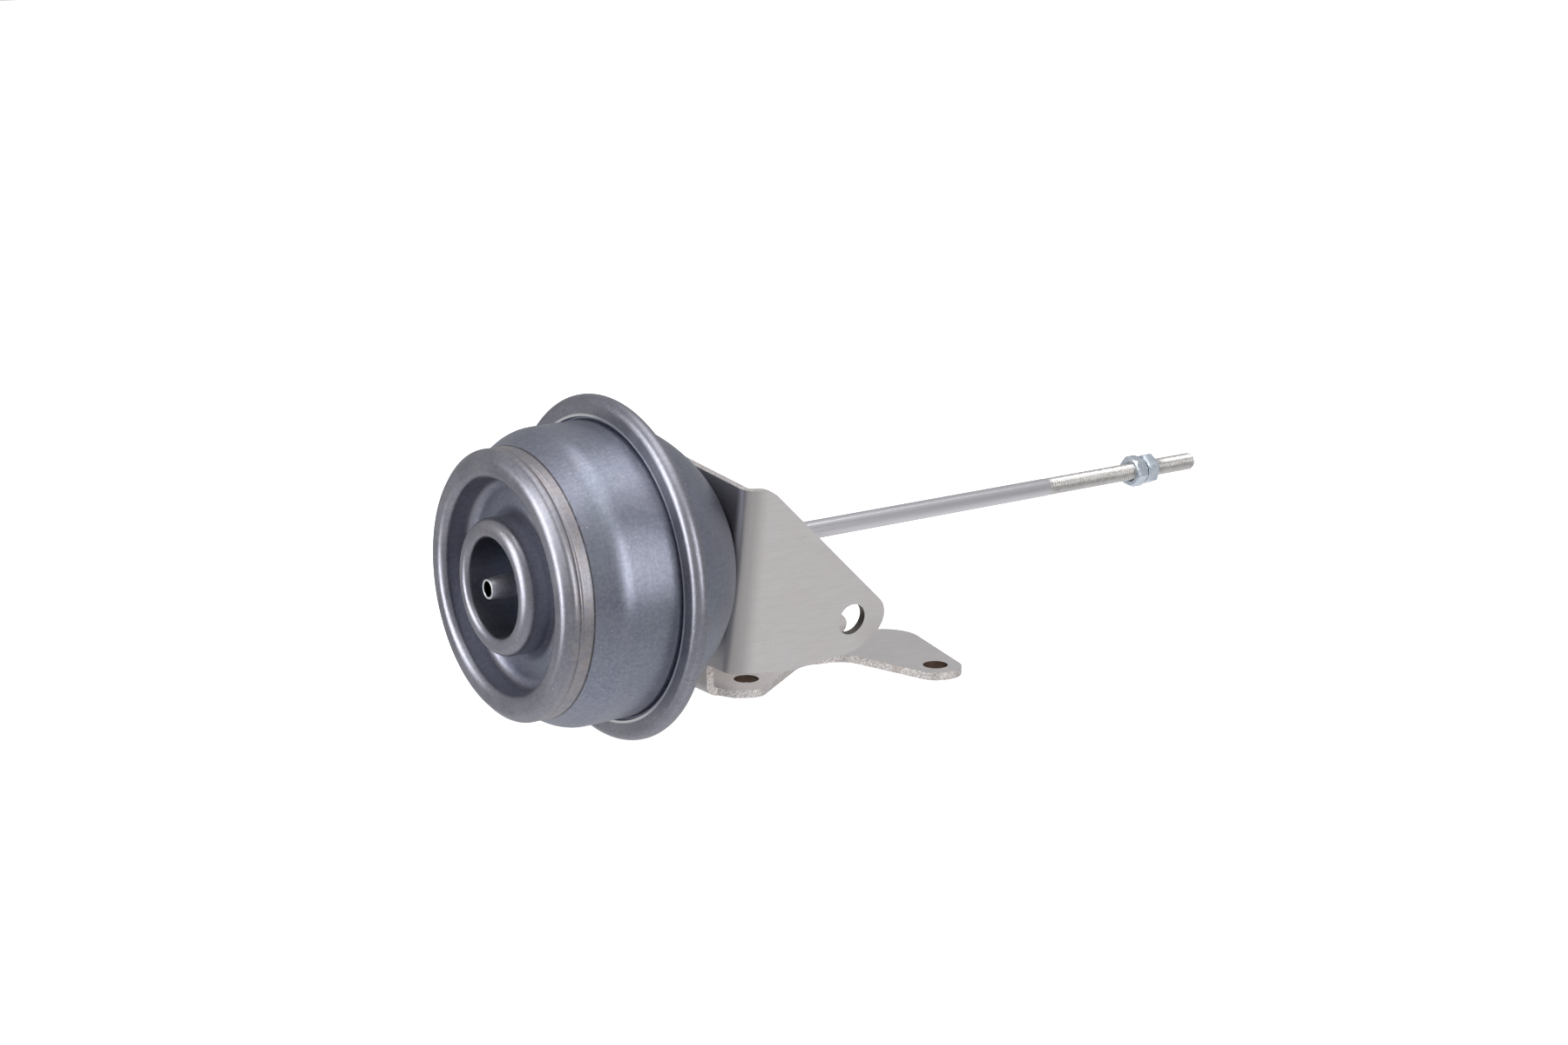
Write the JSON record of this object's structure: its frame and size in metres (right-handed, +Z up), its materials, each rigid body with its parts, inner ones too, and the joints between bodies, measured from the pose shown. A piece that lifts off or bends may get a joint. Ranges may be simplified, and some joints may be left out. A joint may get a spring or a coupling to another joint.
{
  "type": "turbocharger vacuum actuator",
  "caption": "Vacuum canister with a hose nipple, a spring-returned push rod with locked nuts, and a bent sheet bracket, for working a turbocharger's vane or wastegate lever.",
  "frame": {"origin": "middle of the hose nipple's mouth", "axes": "+X along the rod towards its threaded end, +Z up, square to the bracket's lower flange, +Y away from the leaning ear"},
  "size_m": [0.2371, 0.0868, 0.0868],
  "materials": {
    "canister": "satin, faint blue heat tint",
    "nipple_steel": "satin",
    "braze": "dull",
    "plain_steel": "satin",
    "spring_steel": "oiled",
    "diaphragm_rubber": "matt",
    "seal_rubber": "matt",
    "bush_polymer": "matt",
    "bracket_nickel": "warm nickel plate, sheared edges",
    "rod_steel": "satin",
    "nut_zinc": "bright pale blue zinc plate"
  },
  "bodies": {
    "canister": {"front_cover": "canister", "rear_housing": "canister", "vacuum_nipple": "nipple_steel", "nipple_braze": "braze", "spring_seat": "plain_steel", "return_spring": "spring_steel", "diaphragm": "diaphragm_rubber", "stop_bumper": "seal_rubber", "guide_bush": "bush_polymer", "dust_wiper": "seal_rubber", "bush_retainer": "plain_steel", "bracket": "bracket_nickel", "bracket_rivets": "plain_steel"},
    "rod": {"actuator_rod": "rod_steel", "piston_cup": "plain_steel", "clamp_washer": "plain_steel", "diaphragm_plate": "plain_steel", "rod_collar": "rod_steel"},
    "inner_nut": {"inner_nut": "nut_zinc"},
    "outer_nut": {"outer_nut": "nut_zinc"}
  },
  "joints": [
    {"name": "rod_slide", "type": "slide", "parent": "canister", "child": "rod", "axis": [1, 0, 0], "range_m": [-0.012, 0], "stiffness_N_per_m": 2600, "springref_m": 0.0126, "deforming": ["return_spring", "diaphragm"]},
    {"name": "inner_nut_turn", "type": "hinge", "parent": "rod", "child": "inner_nut", "pos_m": [0.2141, 0, 0], "axis": [1, 0, 0], "continuous": true},
    {"name": "outer_nut_turn", "type": "hinge", "parent": "rod", "child": "outer_nut", "pos_m": [0.2185, 0, 0], "axis": [1, 0, 0], "continuous": true}
  ]
}
